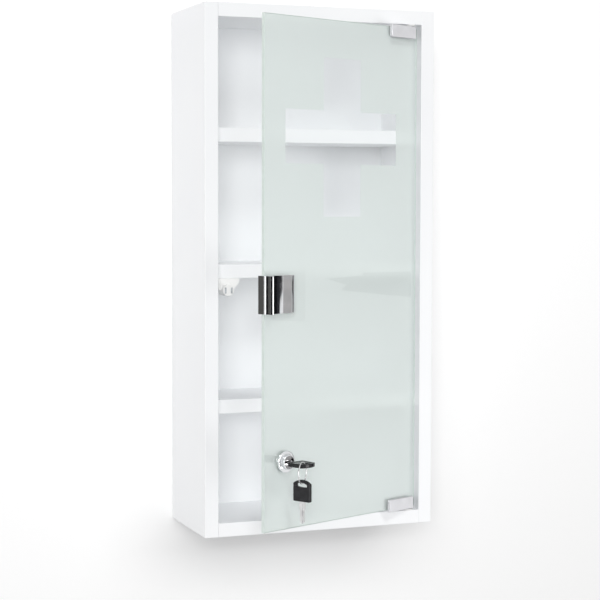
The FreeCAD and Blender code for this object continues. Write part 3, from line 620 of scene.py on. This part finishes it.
def makeWallPaint():
    material, tree = emptyMaterial("wallPaintMatt")
    paint = addNode(tree, "ShaderNodeBsdfDiffuse", {"Color": hexToLinear(wallLook["colour"])})
    dull = addNode(tree, "ShaderNodeBsdfDiffuse", {"Color": hexToLinear(wallLook["bounce"])})
    lift = addNode(tree, "ShaderNodeEmission", {"Color": white, "Strength": wallLook["lift"]})
    bright = addNode(tree, "ShaderNodeAddShader", {}, {0: paint.outputs["BSDF"], 1: lift.outputs["Emission"]})
    choice = addNode(tree, "ShaderNodeMixShader", {}, {0: anyRay(tree, seenRays), 1: dull.outputs["BSDF"],
                                                       2: bright.outputs["Shader"]})
    back = addNode(tree, "ShaderNodeNewGeometry")
    clear = addNode(tree, "ShaderNodeBsdfTransparent")
    oneSided = addNode(tree, "ShaderNodeMixShader", {}, {0: back.outputs["Backfacing"], 1: choice.outputs["Shader"],
                                                         2: clear.outputs["BSDF"]})
    addNode(tree, "ShaderNodeOutputMaterial", {}, {"Surface": oneSided.outputs["Shader"]})
    return material


def addCard(name, corners, faces, material):
    mesh = bpy.data.meshes.new(name)
    mesh.from_pydata(corners, [], faces)
    mesh.materials.append(material)
    card = bpy.data.objects.new(name, mesh)
    bpy.context.scene.collection.objects.link(card)
    return card


def addWall():
    size = wallLook
    corners = [(x * wide, size["gap"], size["middle"] + z * high)
               for wide, high in ((size["half"], size["half"]), (size["openHalfWide"], size["openHalfHigh"]))
               for x, z in ((-1, -1), (1, -1), (1, 1), (-1, 1))]
    faces = [(step, (step + 1) % 4, 4 + (step + 1) % 4, 4 + step) for step in range(4)]
    addCard("backdropWall", corners, faces, makeWallPaint())


addWall()

# Dark cards beside the cabinet that glow faintly and are seen only in reflections in the metal, where they paint its
# dark bands as painted reflections.
# The near edge of the one on the right is cut in a wave, as the dark band in the hollow of the handle shows it.
flagWave = [(-1.234, -0.394), (-1.234, -0.403), (-1.353, -0.415), (-1.287, -0.433), (-1.304, -0.449),
            (-1.133, -0.461), (-0.988, -0.469), (-0.887, -0.479), (-0.870, -0.500)]
flagLooks = {
    "leftFlag": {"colour": "#5A5957", "outline": [(-0.56, y, z) for y, z in (
        (-0.062, -0.43), (-0.004, -0.43), (-0.004, 0.10), (-0.062, 0.10))]},
    "leftDarkFlag": {"colour": "#161618", "outline": [(-0.56, y, z) for y, z in (
        (-0.40, -0.43), (-0.063, -0.43), (-0.063, 0.10), (-0.40, 0.10))]},
    "leftWallFlag": {"colour": "#4A4846", "outline": [(x, -0.004, z) for x, z in (
        (-0.56, -0.43), (-0.34, -0.43), (-0.34, 0.10), (-0.56, 0.10))]},
    "rightFlag": {"colour": "#303033", "outline": [(2.90, y, z) for y, z in (
        [(-0.35, -0.62), (-0.35, -0.25), (-1.05, -0.25), (-1.05, -0.388)] + flagWave + [(-0.85, -0.62)])]},
    "rightDarkFlag": {"colour": "#141416", "outline": [(0.599, y, z) for y, z in (
        (-0.27, -0.60), (-0.004, -0.60), (-0.004, -0.06), (-0.27, -0.06))]},
    "rightGreyFlag": {"colour": "#B8B6B5", "outline": [(1.05, y, z) for y, z in (
        (-1.00, -0.40), (-0.65, -0.40), (-0.65, -0.308), (-1.00, -0.308))]},
}


def addFlag(name, look):
    material, tree = emptyMaterial(name + "Card")
    # an emission that shows only in reflections: a painted dark reflection, not a lit cloth
    paintedReflection = addNode(tree, "ShaderNodeEmission", {"Color": hexToLinear(look["colour"])})
    addNode(tree, "ShaderNodeOutputMaterial", {}, {"Surface": paintedReflection.outputs["Emission"]})
    card = addCard(name, look["outline"], [range(len(look["outline"]))], material)
    card.visible_camera = False
    card.visible_diffuse = False
    card.visible_transmission = False
    card.visible_volume_scatter = False
    card.visible_shadow = False


for name, look in flagLooks.items():
    addFlag(name, look)

# Light: an even white room, a big soft box far above the camera, one beside it, a low one to the right, one to the
# left, one behind the wall for the cabinet's back and a wide one that draws the shadow on the wall
lampLooks = {
    "keySoftBox": {"at": (-0.36, -6.94, 6.0), "aim": (0.0, -0.1, -0.3), "size": 2.16, "watts": 194.4},
    "cameraSoftBox": {"at": (-2.66, -6.76, 0.82), "aim": (-0.05, -0.1, -0.35), "size": 2.16, "watts": 166.0},
    "lowSoftBox": {"at": (1.5, -1.8, -0.80), "aim": (0.0, -0.15, -0.40), "size": 0.9, "watts": 12.5},
    "leftSoftBox": {"at": (-2.2, -0.7, -0.2), "aim": (-0.1, -0.1, -0.3), "size": 1.4, "watts": 11.0},
    "backSoftBox": {"at": (0.9, 3.0, 0.6), "aim": (0.0, 0.0, -0.26), "size": 1.6, "watts": 66.0},
    "wallSoftBox": {"at": (-0.1, -2.0, 0.50), "aim": (0.0, 0.0, -0.40), "size": 2.8, "high": 1.0, "watts": 26.0},
}
# One lamp lights the wall alone and three leave it out, so that the shadow on it is soft and short.
# The low one leaves out the pane as well, which would mirror it as a white wedge when the door is shut.
lampLinks = {
    "wallSoftBox": ("INCLUDE", ["backdropWall"]),
    "keySoftBox": ("EXCLUDE", ["backdropWall"]),
    "lowSoftBox": ("EXCLUDE", ["backdropWall", "glassPane"]),
    "leftSoftBox": ("EXCLUDE", ["backdropWall"]),
}
roomLook = {"light": 0.33, "seen": 1.0}  # the room as it lights things, and as it shows in metal and glass


def addLamp(name, look):
    data = bpy.data.lights.new(name, "AREA")
    data.shape = "RECTANGLE"
    data.size = look["size"]
    data.size_y = look.get("high", look["size"])
    data.energy = look["watts"]
    lamp = bpy.data.objects.new(name, data)
    lamp.location = look["at"]
    lamp.rotation_euler = (Vector(look["aim"]) - Vector(look["at"])).to_track_quat("-Z", "Y").to_euler()
    bpy.context.scene.collection.objects.link(lamp)
    if name in lampLinks:
        state, linked = lampLinks[name]
        reach = bpy.data.collections.new(name + "Reach")
        for entry in linked:
            reach.objects.link(bpy.data.objects[entry])
        for entry in reach.collection_objects:
            entry.light_linking.link_state = state
        lamp.light_linking.receiver_collection = reach


for name, look in lampLooks.items():
    addLamp(name, look)


def lightRoom():
    world = bpy.data.worlds.new("whiteRoom")
    bpy.context.scene.world = world
    world.use_nodes = True
    tree = world.node_tree
    tree.nodes.clear()
    level = addNode(tree, "ShaderNodeMapRange", {"To Min": roomLook["light"], "To Max": roomLook["seen"]},
                    {"Value": anyRay(tree, seenRays)})
    air = addNode(tree, "ShaderNodeBackground", {"Color": white}, {"Strength": level.outputs["Result"]})
    addNode(tree, "ShaderNodeOutputWorld", {}, {"Surface": air.outputs["Background"]})


lightRoom()
print("stage and light set")

# Camera: left of the cabinet, a little above its middle
cameraLook = {"at": (-0.6896, -1.8758, -0.1801), "yawDeg": 20.80, "pitchDeg": 3.46, "rollDeg": 0.13, "lensMm": 98.41,
              "sensorMm": 36.0, "clipStart": 0.01}


def addCamera():
    yaw, pitch, roll = (math.radians(cameraLook[key]) for key in ("yawDeg", "pitchDeg", "rollDeg"))
    level = Vector((math.sin(yaw), math.cos(yaw), 0))
    right = Vector((math.cos(yaw), -math.sin(yaw), 0))
    up = Vector((0, 0, 1))
    forward = level * math.cos(pitch) - up * math.sin(pitch)
    tilted = up * math.cos(pitch) + level * math.sin(pitch)
    rolled = right * math.cos(roll) + tilted * math.sin(roll)
    upright = tilted * math.cos(roll) - right * math.sin(roll)
    data = bpy.data.cameras.new("photoCamera")
    data.sensor_width = cameraLook["sensorMm"]
    data.lens = cameraLook["lensMm"]
    data.clip_start = cameraLook["clipStart"]
    camera = bpy.data.objects.new("photoCamera", data)
    camera.matrix_world = Matrix.Translation(cameraLook["at"]) @ Matrix(
        [(rolled[i], upright[i], -forward[i]) for i in range(3)]).to_4x4()
    bpy.context.scene.collection.objects.link(camera)
    bpy.context.scene.camera = camera


addCamera()
bpy.context.scene.view_settings.view_transform = "Standard"
